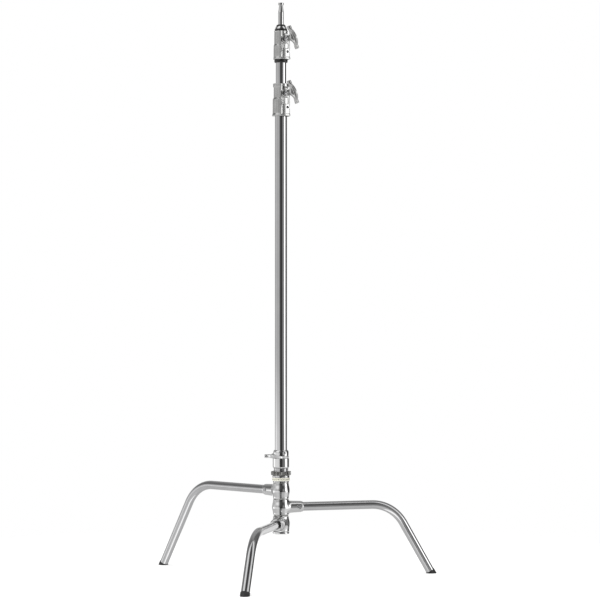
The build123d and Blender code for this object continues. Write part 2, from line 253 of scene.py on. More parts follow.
def make_satin(name, low, high, rough, grain):
    """Bead-blasted casting: fine even grain, slow tone changes, and painted shade darkening its corners."""
    material, shader = new_material(name, high, 1.0, rough)
    links = material.node_tree.links
    where = object_coordinates(material)
    tone = tinted(material, noise(material, where, 60.0), low, high)
    # painted shade: the casting's colour is darkened in its corners, grooves and holes
    links.new(painted_corner_shade(material, tone), shader.inputs["Base Color"])
    matt = ranged(material, noise(material, where, 350.0), rough - 0.06, rough + 0.08)
    links.new(matt, shader.inputs["Roughness"])
    bump(material, shader, noise(material, where, grain, detail=3.0), 0.25, 0.00003)
    return material


def make_moulded(name, low, high, rough, grain, depth):
    """Moulded plastic or rubber: soft tone changes and a fine tooled grain."""
    material, shader = new_material(name, high, 0.0, rough)
    links = material.node_tree.links
    where = object_coordinates(material)
    links.new(tinted(material, noise(material, where, 90.0), low, high), shader.inputs["Base Color"])
    matt = ranged(material, noise(material, where, 500.0), rough - 0.08, rough + 0.1)
    links.new(matt, shader.inputs["Roughness"])
    bump(material, shader, noise(material, where, grain, detail=3.0), 0.3, depth)
    return material


def make_band():
    """Cream band with a plain row of short dark ticks."""
    cream, ink = (0.86, 0.85, 0.72, 1.0), (0.06, 0.06, 0.06, 1.0)
    ticks_round, tick_above, row_half = 34.0, 0.35, 0.0016
    material, shader = new_material("pale_band", cream[:3], 0.0, 0.45)
    angle, height = about_z(material, "Object")
    wave = math_node(material, "SINE", math_node(material, "MULTIPLY", angle, ticks_round))
    on_tick = math_node(material, "GREATER_THAN", wave, tick_above)
    above = math_node(material, "SUBTRACT", height, mid_level("label_band") * MM)
    on_row = math_node(material, "LESS_THAN", math_node(material, "ABSOLUTE", above), row_half)
    inked = math_node(material, "MULTIPLY", on_tick, on_row)
    feed(material, shader.inputs["Base Color"], mixed(material, inked, cream, ink))
    return material


CHROME = (0.57, 0.57, 0.575)
PLASTIC_LOW, PLASTIC_HIGH = (0.010, 0.010, 0.010), (0.022, 0.022, 0.022)
RUBBER_LOW, RUBBER_HIGH = (0.012, 0.012, 0.012), (0.03, 0.03, 0.03)
MATERIALS = {
    "chrome_tube": make_chrome("chrome_tube", CHROME, 0.045, ALONG_Z),
    "chrome_cast": make_chrome("chrome_cast", (0.68, 0.68, 0.68), 0.08, EVEN),
    "chrome_turned": make_chrome("chrome_turned", (0.58, 0.58, 0.58), 0.09, ROUND_Z),
    "satin_cast": make_satin("satin_cast", (0.43, 0.43, 0.425), (0.52, 0.52, 0.515), 0.21, 2600.0),
    "dark_cast": make_satin("dark_cast", (0.19, 0.19, 0.185), (0.32, 0.32, 0.31), 0.33, 1800.0),
    "black_plastic": make_moulded("black_plastic", PLASTIC_LOW, PLASTIC_HIGH, 0.4, 2200.0, 0.00006),
    "black_rubber": make_moulded("black_rubber", RUBBER_LOW, RUBBER_HIGH, 0.62, 1500.0, 0.00012),
    "nylon": make_moulded("nylon", (0.55, 0.55, 0.52), (0.7, 0.7, 0.67), 0.4, 1500.0, 0.00004),
    "pale_band": make_band(),
    "zinc_steel": make_chrome("zinc_steel", (0.55, 0.55, 0.56), 0.22, EVEN),
    "brass": make_chrome("brass", (0.75, 0.58, 0.3), 0.25, EVEN),
}
LEG_FINISH = make_chrome("chrome_leg", CHROME, 0.13, ALONG_Z)  # the legs are duller than the column


# --- meshes ---


def mesh_piece(name, node, points, faces, place=None, normals=None):
    """Makes one piece from millimetre points, in place of a CAD node of the same body and slot."""
    place = place or Matrix.Identity(4)
    mesh = bpy.data.meshes.new(name)
    mesh.from_pydata((np.asarray(points) * MM).tolist(), [], faces)
    mesh.transform(Matrix.Translation(place.translation * MM) @ place.to_3x3().to_4x4())
    mesh.polygons.foreach_set("use_smooth", [True] * len(mesh.polygons))
    mesh.update()
    piece = bpy.data.objects.new(name, mesh)
    bpy.context.scene.collection.objects.link(piece)
    slot = SLOT_OF[node]
    mesh.materials.append(MATERIALS[slot])
    if normals is None:
        mesh.set_sharp_from_angle(angle=math.radians(40))
        piece.modifiers.new("even_shading", "WEIGHTED_NORMAL").keep_sharp = True
    else:
        facing = np.asarray(normals) @ np.array(place.to_3x3()).T
        mesh.normals_split_custom_set_from_vertices(facing.tolist())
    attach(piece, BODY_OF[node])
    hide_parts(node)
    return piece


SLOT_OF = {entry["node"]: entry["material_slot"] for entry in frame["record"]["subparts"]}
BODIES = frame["record"]["behaviour"]["bodies"]
BODY_OF = {node: body for body, nodes in BODIES.items() for node in nodes}


def rounded(outline, size=ROUND, steps=4):
    """Closed outline with each corner that isn't on the axis turned into a small arc."""
    points = [np.array(point, float) for point in outline]
    result = []
    for index, corner in enumerate(points):
        before, after = points[index - 1], points[(index + 1) % len(points)]
        if corner[0] < 1e-6:
            result.append(corner)
            continue
        back, ahead = before - corner, after - corner
        trim = min(size, np.linalg.norm(back) * 0.45, np.linalg.norm(ahead) * 0.45)
        start = corner + back / np.linalg.norm(back) * trim
        end = corner + ahead / np.linalg.norm(ahead) * trim
        for step in range(steps + 1):
            t = step / steps
            result.append((1 - t) ** 2 * start + 2 * t * (1 - t) * corner + t**2 * end)
    return result


def curve_through(points, steps=8):
    """Smooth Catmull-Rom run of (radius, level) points."""
    p = [np.array(point, float) for point in points]
    p = [2 * p[0] - p[1]] + p + [2 * p[-1] - p[-2]]
    result = []
    for a, b, c, d in zip(p, p[1:], p[2:], p[3:]):
        for step in range(steps):
            t = step / steps
            bend, twist = 2 * a - 5 * b + 4 * c - d, 3 * b - a - 3 * c + d
            result.append(0.5 * (2 * b + (c - a) * t + bend * t**2 + twist * t**3))
    return [tuple(point) for point in result] + [tuple(p[-2])]


def lathe(name, node, outline, place=None, steps=96):
    """Turned piece from a closed outline of (radius, level) points."""
    points, rings = [], []
    for r, level in outline:
        if r < 1e-6:
            rings.append([len(points)] * steps)
            points.append((0.0, 0.0, level))
            continue
        rings.append(list(range(len(points), len(points) + steps)))
        for step in range(steps):
            angle = 2 * math.pi * step / steps
            points.append((r * math.cos(angle), r * math.sin(angle), level))
    faces = []
    for ring, after in zip(rings, rings[1:] + rings[:1]):
        for step in range(steps):
            following = (step + 1) % steps
            corners = list(dict.fromkeys([ring[step], ring[following], after[following], after[step]]))
            if len(corners) > 2:
                faces.append(corners)
    return mesh_piece(name, node, points, faces, place)


def skin(rings, steps, capped):
    """Faces over a run of rings of points: its ends capped, or its last ring joined to its first."""
    faces = []
    for ring in range(rings - capped):
        a, b = ring * steps, (ring + 1) % rings * steps
        for step in range(steps):
            following = (step + 1) % steps
            faces.append((a + step, a + following, b + following, b + step))
    if capped:
        faces += [tuple(reversed(range(steps))), tuple(range((rings - 1) * steps, rings * steps))]
    return faces


def hollow(inner, outer, low, high):
    """Outline of a plain tube."""
    return [(inner, low), (outer, low), (outer, high), (inner, high)]


# --- castings: a surface where a distance formula is zero ---


def surface_net(field, low, high, cell):
    """Quad mesh of field(points) = 0 inside a box, with its vertices and normals on the surface."""
    axes = [np.arange(start - cell, end + 2 * cell, cell) for start, end in zip(low, high)]
    grid = np.stack(np.meshgrid(*axes, indexing="ij"), -1)
    inside = sampled(field, grid, cell)
    count = sum(
        inside[i : i - 1 or None, j : j - 1 or None, k : k - 1 or None].astype(int)
        for i in (0, 1)
        for j in (0, 1)
        for k in (0, 1)
    )
    crossed = (count > 0) & (count < 8)
    cells = np.full(crossed.shape, -1)
    cells[crossed] = np.arange(crossed.sum())
    start = grid[:-1, :-1, :-1][crossed] + cell / 2
    faces = np.concatenate([crossings(inside, cells, axis) for axis in range(3)])
    points, normals = settle(field, start, faces, cell)
    return points, normals, faces


def sampled(field, grid, cell, block=6):
    """Which grid points are inside, worked out in full only in blocks that the surface can reach."""
    reach = 1.3 * block * cell  # from a block's middle past its corners, which are at 0.87
    counts = [-(-size // block) for size in grid.shape[:3]]
    starts = np.meshgrid(*[np.arange(n) * block for n in counts], indexing="ij")
    starts = np.stack(starts, -1).reshape(-1, 3)
    centres = grid[0, 0, 0] + (starts + (block - 1) / 2) * cell
    middle = field(centres)
    steps = np.stack(np.meshgrid(*[np.arange(block)] * 3, indexing="ij"), -1).reshape(-1, 3)
    inside = np.empty([n * block for n in counts], bool)
    for near in (False, True):
        chosen = (np.abs(middle) < reach) == near
        where = starts[chosen][:, None] + steps
        value = field(grid[0, 0, 0] + where * cell) if near else middle[chosen][:, None]
        inside[where[..., 0], where[..., 1], where[..., 2]] = value < 0
    return inside[: grid.shape[0], : grid.shape[1], : grid.shape[2]]


def crossings(inside, cells, axis):
    """Quads round the grid edges along one axis where the surface passes."""
    order = [axis, (axis + 1) % 3, (axis + 2) % 3]
    state = np.transpose(inside, order)
    number = np.transpose(cells, order)
    here, ahead = state[:-1, 1:-1, 1:-1], state[1:, 1:-1, 1:-1]
    i, j, k = np.nonzero(here != ahead)
    corners = [(j, k), (j + 1, k), (j + 1, k + 1), (j, k + 1)]
    quad = np.stack([number[i, row, column] for row, column in corners], 1)
    leaving = here[i, j, k]
    quad[~leaving] = quad[~leaving][:, ::-1]
    return quad


def gradient(field, points, step=0.1):
    result = np.empty_like(points)
    for axis in range(3):
        shift = np.zeros(3)
        shift[axis] = step
        result[:, axis] = (field(points + shift) - field(points - shift)) / (2 * step)
    return result


def settle(field, points, faces, cell):
    """Pulls vertices onto the surface, evens them out along it, and returns their normals."""
    start = points.copy()
    edges = np.concatenate([faces[:, [0, 1]], faces[:, [1, 2]], faces[:, [2, 3]], faces[:, [3, 0]]])
    edges = np.concatenate([edges, edges[:, ::-1]])
    here, there = edges.T
    degree = np.bincount(here, minlength=len(points))[:, None]
    for turn in range(6):
        slope = gradient(field, points)
        step = field(points)[:, None] * slope / np.maximum((slope**2).sum(1, keepdims=True), 0.05)
        points = points - np.clip(step, -cell, cell)
        points = start + np.clip(points - start, -0.95 * cell, 0.95 * cell)
        if turn in (1, 3):
            total = [np.bincount(here, points[there, axis], len(points)) for axis in range(3)]
            points = points + 0.5 * (np.stack(total, 1) / degree - points)
    slope = gradient(field, points)
    return points, slope / np.maximum(np.linalg.norm(slope, axis=1, keepdims=True), 1e-9)


def cast(name, node, shape, cell, place):
    """Casting from a distance formula and the box that it is sought in."""
    points, normals, faces = surface_net(*shape, cell)
    return mesh_piece(name, node, points, faces.tolist(), place, normals)


def outline_distance(at, corners):
    """Signed distance in the (radius, level) plane to a closed outline, negative inside."""
    nearest = np.full(at.shape[:-1], 1e9)
    inside = np.zeros(at.shape[:-1], bool)
    for a, b in zip(corners, corners[1:] + corners[:1]):
        edge, off = b - a, at - a
        length = edge @ edge
        if length < 1e-12:
            continue
        t = np.clip(off @ edge / length, 0, 1)
        nearest = np.minimum(nearest, np.linalg.norm(off - t[..., None] * edge, axis=-1))
        if a[1] != b[1]:
            straddles = (a[1] > at[..., 1]) != (b[1] > at[..., 1])
            inside ^= straddles & (at[..., 0] < a[0] + (at[..., 1] - a[1]) * edge[0] / edge[1])
    return np.where(inside, -nearest, nearest)


def turned(outline, size=1.0, pitch=0.25):
    """Distance to a solid of revolution about z, looked up in a fine table of its outline."""
    corners = [np.array(corner, float) for corner in rounded(outline, size, 3)]
    reach = max(corner[0] for corner in corners) + 8
    low = min(corner[1] for corner in corners) - 8
    high = max(corner[1] for corner in corners) + 8
    radii, levels = np.arange(0, reach, pitch), np.arange(low, high, pitch)
    table = outline_distance(np.stack(np.meshgrid(radii, levels, indexing="ij"), -1), corners)

    def distance(p):
        u = np.clip(np.hypot(p[..., 0], p[..., 1]) / pitch, 0, len(radii) - 1.001)
        v = np.clip((p[..., 2] - low) / pitch, 0, len(levels) - 1.001)
        i, j = u.astype(int), v.astype(int)
        a, b = u - i, v - j
        near = (1 - b) * table[i, j] + b * table[i, j + 1]
        far = (1 - b) * table[i + 1, j] + b * table[i + 1, j + 1]
        return (1 - a) * near + a * far

    return distance


def box_distance(p, centre, half, corner=0.0):
    q = np.abs(p - np.array(centre)) - (np.array(half) - corner)
    outside = np.linalg.norm(np.maximum(q, 0), axis=-1)
    return outside + np.minimum(q.max(-1), 0) - corner


def rod_distance(p, start, end, start_r, end_r, corner=0.0):
    """Round bar or cone between two points, square at its ends."""
    start, end = np.array(start, float), np.array(end, float)
    length = np.linalg.norm(end - start)
    along = (end - start) / length
    travel = (p - start) @ along
    across = np.linalg.norm(p - start - travel[..., None] * along, axis=-1)
    reach = start_r + (end_r - start_r) * np.clip(travel / length, 0, 1)
    q = np.stack([across - reach + corner, np.abs(travel - length / 2) - length / 2 + corner], -1)
    outside = np.linalg.norm(np.maximum(q, 0), axis=-1)
    return outside + np.minimum(q.max(-1), 0) - corner


def join(a, b, blend=0.0):
    """Union, with a fillet of about that size."""
    if blend <= 0:
        return np.minimum(a, b)
    h = np.maximum(blend - np.abs(a - b), 0) / blend
    return np.minimum(a, b) - h * h * blend / 4


def cut(a, b, blend=0.0):
    """a less b, with a rounded rim of about that size."""
    return -join(-a, b, blend)


def common(a, b, blend=0.0):
    """What a and b share, with rounded edges of about that size."""
    return -join(-a, -b, blend)


# --- legs and hubs ---


def leg_centre_line(name):
    """Points of the leg's centre line and the tangent's angle at each, in the leg's own plane."""
    level = mid_level(f"{name}_hub")
    foot = leg_foot_radius(name)
    corner = foot - level / math.tan(LEG_SLOPE)
    setback = LEG_BEND_R * math.tan(LEG_SLOPE / 2)
    end = foot - FOOT_CUT / math.tan(LEG_SLOPE)
    bend = corner - setback
    line = [(SOCKET_START + (bend - SOCKET_START) * t, level, 0.0) for t in np.linspace(0, 1, 8)]
    turns = 28
    for step in range(1, turns + 1):
        angle = LEG_SLOPE * step / turns
        x = bend + LEG_BEND_R * math.sin(angle)
        line.append((x, level - LEG_BEND_R * (1 - math.cos(angle)), -angle))
    last = line[-1]
    for t in np.linspace(0, 1, 8)[1:]:
        line.append((last[0] + (end - last[0]) * t, last[1] + (FOOT_CUT - last[1]) * t, -LEG_SLOPE))
    return line


def bent_tube(name):
    """Leg tube with its inner wall and square ends."""
    steps = 80
    line = leg_centre_line(name)
    runs = [(LEG_R, line), (LEG_R - LEG_WALL, line[::-1])]
    points = []
    for r, run in runs:
        for x, level, tilt in run:
            for step in range(steps):
                angle = 2 * math.pi * step / steps
                up, side = r * math.cos(angle), r * math.sin(angle)
                points.append((x - math.sin(tilt) * up, side, level + math.cos(tilt) * up))
    faces = skin(2 * len(line), steps, False)
    leg = mesh_piece(f"{name}_leg", f"{name}_leg_tube", points, faces, turn_about_z(leg_azimuth(name)))
    leg.data.materials[0] = LEG_FINISH


def foot_field(name):
    """Sole and plug in line with the lower leg, cut flat on the floor."""
    foot = leg_foot_radius(name)
    along = np.array((math.cos(LEG_SLOPE), 0.0, -math.sin(LEG_SLOPE)))
    top = np.array((foot - FOOT_CUT / math.tan(LEG_SLOPE), 0.0, FOOT_CUT))
    sole_r = 13.4

    def field(p):
        sole = rod_distance(p, top, top + along * 40, sole_r, sole_r, 1.4)
        plug = rod_distance(p, top - along * 18, top + along, LEG_R - LEG_WALL, LEG_R - LEG_WALL)
        return common(join(sole, plug), -p[..., 2], 1.0)

    return field, (foot - 34, -14, 0), (foot + 18, 14, 28)


# Radius of the socket's mouth, rounding of its lip, radius and start of the counterbore round the tube,
# how far the barrel's foot stands out, and the heights of the shoulders at its foot and its top.
HUBS = {
    "front": (17.8, 1.6, 16.6, 57.5, 1.2, 1.3, 3.0),
    "middle": (15.6, 4.5, 13.4, 63.0, 0.0, 3.0, 1.3),
    "top": (15.6, 4.5, 13.4, 63.0, 0.0, 1.3, 1.3),
}


def hub_field(name):
    """Barrel with a socket for the leg, eased into each other, and a seat each side for the rivet."""
    low, high = span(f"{name}_hub")
    level = mid_level(f"{name}_hub")
    core = radius("core_tube") + FIT
    waist, belly = 22.6, 25.7
    mouth_r, lip, seat_r, seat_at, spread, rise, drop = HUBS[name]
    foot_r = waist + spread
    wall = []
    for step in range(-10, 11):
        end_r, run = (foot_r, level - low - rise) if step < 0 else (waist, high - drop - level)
        swell = 0.5 + 0.5 * math.cos(math.pi * step / 10)
        wall.append((end_r + (belly - end_r) * swell, level + run * step / 10))
    outline = [(core - 4, low), (foot_r - rise * 0.8, low), *wall]
    outline += [(waist - drop * 0.8, high), (core - 4, high)]
    barrel = turned(outline, 0.8)

    def field(p):
        taper = rod_distance(p, (4, 0, level), (58, 0, level), 18.6, mouth_r)
        mouth = rod_distance(p, (40, 0, level), (65, 0, level), mouth_r + 0.2, mouth_r - 0.6, lip)
        body = join(barrel(p), join(taper, mouth, 1.5), 6.0)
        for way in (-1, 1):
            seat = rod_distance(p, (RIVET_AT, way * 14.6, level), (RIVET_AT, way * 30, level), 5.6, 7.5)
            body = cut(body, seat, 1.2)
        body = cut(body, rod_distance(p, (seat_at, 0, level), (80, 0, level), seat_r, seat_r), 0.6)
        body = cut(body, rod_distance(p, (SOCKET_START, 0, level), (80, 0, level), LEG_R, LEG_R), 0.4)
        body = cut(body, rod_distance(p, (0, 0, low - 9), (0, 0, high + 9), core, core), 0.6)
        return common(body, np.abs(p[..., 2] - (low + high) / 2) - (high - low) / 2, 0.6)

    return field, (-27, -27, low), (66, 27, high)


def rivet_field(name):
    """Domed heads each side, crossed by a shallow X."""
    level = mid_level(f"{name}_hub")
    seat, height = 14.8, 2.6

    def field(p):
        body = rod_distance(p, (RIVET_AT, -seat - 1, level), (RIVET_AT, seat + 1, level), 3.0, 3.0)
        for way in (-1, 1):
            base, tip = (RIVET_AT, way * seat, level), (RIVET_AT, way * (seat + height), level)
            head = rod_distance(p, base, tip, 5.3, 4.4, 1.0)
            for tilt in (math.pi / 4, -math.pi / 4):
                run = np.array((math.cos(tilt), 0.0, math.sin(tilt)))
                rise = np.array((-math.sin(tilt), 0.0, math.cos(tilt)))
                off = p - np.array(tip)
                slot = np.maximum(np.abs(off @ run) - 3.4, np.abs(off @ rise) - 0.55)
                slot = np.maximum(slot, np.abs(off[..., 1]) - 0.9)
                head = cut(head, slot, 0.3)
            body = join(body, head)
        return body

    return field, (RIVET_AT - 6, -19, level - 6), (RIVET_AT + 6, 19, level + 6)


def make_legs():
    for name in LEGS:
        place = turn_about_z(leg_azimuth(name))
        bent_tube(name)
        cast(f"{name}_foot_plug", f"{name}_foot", foot_field(name), 0.8, place)
        hub_cell = 0.62 if name == "front" else 0.9  # the front hub's mouth has a thinner lip
        cast(f"{name}_hub_casting", f"{name}_hub", hub_field(name), hub_cell, place)
        cast(f"{name}_rivet", f"{name}_leg_rivet", rivet_field(name), 0.45, place)


# --- base stack ---


def make_base_stack():
    low, high = span("bottom_cap")
    core = radius("core_tube")
    cap_r = radius("bottom_cap")
    rest = low + 5.7
    outline = [(0, low), (cap_r - 1.5, low), (cap_r, low + 1.5), (cap_r, rest), (core, rest)]
    outline += [(core, high - 5), (core - 2, high - 5), (core - 2, high), (0, high)]
    lathe("bottom_plug", "bottom_cap", rounded(outline, 0.6))

    low, high = span("index_collar")
    outline = [(core, low), (23.2, low), (23.2, low + 3.5), (24.6, low + 4.6), (24.6, high)]
    outline += [(core, high)]
    lathe("index_collar_turned", "index_collar", rounded(outline, 0.4))
    low, high = span("label_band")
    lathe("label_band_wrap", "label_band", rounded(hollow(24.55, radius("label_band"), low, high), 0.12))

    low, high = span("lock_skirt")
    outline = [(core + FIT, low), (24.6, low), (25.0, high - 3), (24.0, high), (core + FIT, high)]
    lathe("lock_skirt_turned", "lock_skirt", rounded(outline, 0.5))

    low, high = span("socket_sleeve")
    sleeve_r = radius("socket_sleeve")
    shoulder = curve_through([(sleeve_r - 3, low), (sleeve_r - 0.9, low + 1.1), (sleeve_r, low + 4)], 5)
    outline = [(core, low), *shoulder, (sleeve_r, high - 0.6), (sleeve_r - 0.6, high), (core, high)]
    lathe("socket_sleeve_turned", "socket_sleeve", outline)


def lock_ring_field():
    """Lobed grip ring, bored out above for its spring."""
    low, high = span("leg_lock_ring")
    core = radius("core_tube") + FIT
    lobes, mean, swell, crest = 14, 27.2, 1.45, 28.75
    spring_bore, seat = 22.2, 3.0

    def field(p):
        around = np.arctan2(p[..., 1], p[..., 0])
        wave = np.cos(lobes * around)
        reach = mean + swell * (wave + 0.25 * wave * np.abs(wave))
        across = np.hypot(p[..., 0], p[..., 1])
        side = (across - np.minimum(reach, crest)) * 0.85  # nearer a true distance on the flanks
        level = np.abs(p[..., 2] - (low + high) / 2) - (high - low) / 2
        body = common(side, level, 2.2)
        body = cut(body, across - core, 0.5)
        return cut(body, np.maximum(across - spring_bore, low + seat - p[..., 2]), 0.5)

    return field, (-29, -29, low), (29, 29, high)


def make_spring():
    """Round-wire coil with closed ends, built at one fixed length; the lock ring squeezes it as it lifts."""
    low, high = span("lock_spring")
    wire, coil_r, turns = 0.8, 20.9, 4.0
    sides, steps = 10, 220
    points = []
    for step in range(steps + 1):
        t = step / steps
        angle = 2 * math.pi * turns * t
        level = low + wire + (high - low - 2 * wire) * t
        for side in range(sides):
            swing = 2 * math.pi * side / sides
            r = coil_r + wire * math.cos(swing)
            points.append((r * math.cos(angle), r * math.sin(angle), level + wire * math.sin(swing)))
    faces = [face[::-1] for face in skin(steps + 1, sides, True)]
    spring = mesh_piece("lock_spring_coil", "lock_spring", points, faces)
    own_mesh(spring)


def release_field():
    """Clamp ring with a forged strap that thickens into the lever's root, and the cam's pivot."""
    low, high = span("release_ring")
    core = radius("core_tube") + FIT
    ring_r, arm_level = 23.7, mid_level("release_lever")
    barrel_r = ring_r - 1.3
    outline = [(core - 4, low), (barrel_r - 1.9, low), (barrel_r, arm_level + 2), (barrel_r, high - 6)]
    outline += [(barrel_r - 0.8, high - 2.5), (barrel_r - 2.4, high), (core - 4, high)]
    barrel = turned(outline, 1.0)
    pivot = math.radians(115.4)
    run = np.array((math.cos(pivot), math.sin(pivot), 0.0))
    pivot_level = np.array((0.0, 0.0, high - 7.5))

    def field(p):
        across = np.hypot(p[..., 0], p[..., 1])
        share = np.clip(1 - np.abs(np.arctan2(p[..., 1], p[..., 0])) / 2.5, 0, 1)
        half = 3.0 + 4.2 * share**1.2
        middle = arm_level - 3.4 + 2.6 * share
        face = across - ring_r + (middle + half - p[..., 2]) * 0.28
        strap = common((np.abs(p[..., 2] - middle) - half) * 0.85, face, 1.0)
        strap = np.maximum(strap, core + 1 - across)
        root = rod_distance(p, (12, 0, arm_level), (30, 0, arm_level), 8.6, 5.2)
        boss = rod_distance(p, run * 18 + pivot_level, run * (ring_r + 0.8) + pivot_level, 4.2, 3.8, 1.2)
        body = join(join(join(barrel(p), strap, 0.8), root, 5.0), boss, 1.5)
        body = common(body, low - p[..., 2], 0.6)
        return cut(body, across - core, 0.6)

    return field, (-26, -26, low), (31, 26, high)


def lever_field():
    """Forged bar that narrows downwards, with a dimple in its end."""
    arm_level, start, tip = mid_level("release_lever"), 29.0, 47.0

    def field(p):
        length = box_distance(p, ((start + tip) / 2, 0, arm_level), ((tip - start) / 2, 9.0, 5.2), 1.6)
        slope = np.abs(p[..., 1]) * 0.95 - 3.9 - (p[..., 2] - arm_level) * 0.31
        shank = common(length, slope, 2.0)
        dimple = rod_distance(p, (tip - 1.0, 0, arm_level), (tip + 9, 0, arm_level), 2.0, 2.6)
        return cut(shank, dimple, 0.5)

    return field, (start, -6, arm_level - 6), (tip, 6, arm_level + 6)


def make_clamps():
    cast("lock_ring_casting", "leg_lock_ring", lock_ring_field(), 0.7, turn_about_z(0))
    make_spring()
    low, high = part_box("release_lever")
    middle = (low + high) / 2
    place = turn_about_z(math.atan2(middle.y, middle.x))
    cast("release_ring_forging", "release_ring", release_field(), 0.55, place)
    cast("release_lever_forging", "release_lever", lever_field(), 0.5, place)


# --- column, risers and collars ---


def make_tubes():
    for node in ("column_tube", "riser_1_tube", "riser_2_tube"):
        low, high = span(node)
        outer = radius(node)
        outline = hollow(outer - TUBE_WALL, outer, low, high)
        lathe(f"{node}_drawn", node, rounded(outline, 0.4), steps=128)


# Radii of the barrel above and below its step; heights above the collar's foot of the step and the
# notch; how deep the lip is and how far the foot spreads.
COLLARS = {
    "lower": {"upper_r": 21.0, "lower_r": 23.9, "step": 51.0, "lip": 9.0, "flare": 1.4, "notch": 24.5},
    "upper": {"upper_r": 19.4, "lower_r": 21.3, "step": 42.0, "lip": 1.5, "flare": 0.7, "notch": 21.0},
}
TUBE_OF = {"lower": "column_tube", "upper": "riser_1_tube"}
RISER_IN = {"lower": "riser_1_tube", "upper": "riser_2_tube"}
SHOE_BACK = 7.0  # from the riser to the back of its brake shoe
BLOCK_FACE = 27.0
BLOCK_HALF = 15.6
CROWN = 110.0  # twice the radius of the block's gently rounded face
SEAM_X, SEAM_Y, SEAM_R = 24.0, -13.8, 3.2  # middle and half width of the raised seam
PINCH_Y, PINCH_END = 6.3, 23.5  # the set screw beside the notch
NOTCH_APEX = 12.2  # where the V-shaped notch comes to its point


def collar_field(prefix):
    """Stepped barrel with an arched block, a raised seam, a ringed screw boss, a panel and a notch."""
    low, high = span(f"{prefix}_collar")
    bore = radius(TUBE_OF[prefix])
    boss = screw_level(prefix)
    shape = COLLARS[prefix]
    upper_r, lower_r, step = shape["upper_r"], shape["lower_r"], low + shape["step"]
    lip, lip_r, notch = shape["lip"], upper_r + shape["lip"] / 5, low + shape["notch"]
    foot_r = lower_r + shape["flare"]
    outline = [(bore - 5, low), (foot_r, low), (foot_r - 0.2, low + 3.5)]
    outline += [(lower_r, low + 8), (lower_r - 0.3, step - 2.5), (upper_r, step + 0.5)]
    outline += [(upper_r - 0.3, high - lip - 2), (lip_r - 0.1, high - lip), (lip_r, high)]
    outline += [(bore - 5, high)]
    barrel = turned(outline, 1.0)
    block_y, block_half = (BLOCK_HALF + SEAM_Y) / 2, (BLOCK_HALF - SEAM_Y) / 2
    seam_level, seam_half = (low + high + 3) / 2, (high - low - 5) / 2
    panel_low, panel_high = notch + 8.5, boss - 12.5
    panel_mid, panel_half = (panel_low + panel_high) / 2, (panel_high - panel_low) / 2
    side_mid, side_half = (notch + boss + 7) / 2, (boss - notch - 17) / 2

    def with_block(at, p):
        block_mid, block_up = (low + boss) / 2, (boss - low) / 2
        block = box_distance(p, (13.5, block_y, block_mid), (13.5, block_half, block_up), 2.4)
        arch = rod_distance(p, (2, 0, boss), (BLOCK_FACE, 0, boss), BLOCK_HALF, BLOCK_HALF, 2.4)
        arch = np.maximum(arch, SEAM_Y - p[..., 1])
        body = join(barrel(at), join(block, arch, 0.8), 2.5)
        foot = box_distance(p, (14, block_y, low + 2.4), (13.3, block_half + 0.7, 2.4), 1.0)
        return join(body, foot, 3.0)

    def with_boss(body, p):
        rim = rod_distance(p, (20, 0, boss), (BLOCK_FACE + 0.9, 0, boss), 11.4, 11.0, 0.5)
        well = rod_distance(p, (BLOCK_FACE - 0.9, 0, boss), (60, 0, boss), 9.4, 10.0)
        hub = rod_distance(p, (20, 0, boss), (BLOCK_FACE + 2, 0, boss), 7.4, 6.9, 0.5)
        return join(cut(join(body, rim, 1.0), well, 0.8), hub, 0.8)

    def with_seam(body, at, p):
        gutter_x, gutter_y = BLOCK_FACE + 0.5, SEAM_Y + 5.2
        start, end = (gutter_x, gutter_y, low + 6), (gutter_x, gutter_y, boss - 13)
        body = cut(body, rod_distance(p, start, end, 1.9, 1.9), 1.0)
        bead = box_distance(at, (SEAM_X, SEAM_Y, seam_level), (SEAM_R, SEAM_R - 0.2, seam_half), 1.1)
        web = box_distance(at, (SEAM_X / 2, SEAM_Y + 1, seam_level), (SEAM_X / 2, 2, seam_half), 0.5)
        return join(body, join(bead, web, 0.8), 1.0)

    def with_hollows(body, p):
        panel = box_distance(p, (BLOCK_FACE + 2, 0.6, panel_mid), (4.0, 8.0, panel_half), 1.5)
        body = cut(body, panel, 1.2)
        side = box_distance(p, (17.0, BLOCK_HALF + 3, side_mid), (5.5, 4.0, side_half), 1.5)
        body = cut(body, side, 1.2)
        wedge = (np.abs(p[..., 2] - notch) - (p[..., 1] - NOTCH_APEX) * 2) / 2.236  # sides rise 2 in 1
        body = cut(body, np.maximum(wedge, 15 - p[..., 0]), 0.8)
        start, end = (PINCH_END, PINCH_Y, notch), (BLOCK_FACE + 1, PINCH_Y, notch)
        body = cut(body, rod_distance(p, start, end, 3.0, 3.7), 0.6)
        return cut(body, rod_distance(p, (10, PINCH_Y, notch), (60, PINCH_Y, notch), 2.5, 2.5))

    def field(at):
        p = at + np.stack([at[..., 1] ** 2 / CROWN, 0 * at[..., 1], 0 * at[..., 1]], -1)
        body = with_hollows(with_seam(with_boss(with_block(at, p), p), at, p), p)
        body = cut(body, rod_distance(at, (10, 0, boss), (60, 0, boss), 6.0, 6.0), 0.3)
        return cut(body, rod_distance(at, (0, 0, low - 9), (0, 0, high + 9), bore, bore), 0.5)

    return field, (-27, -27, low), (30, 27, high)


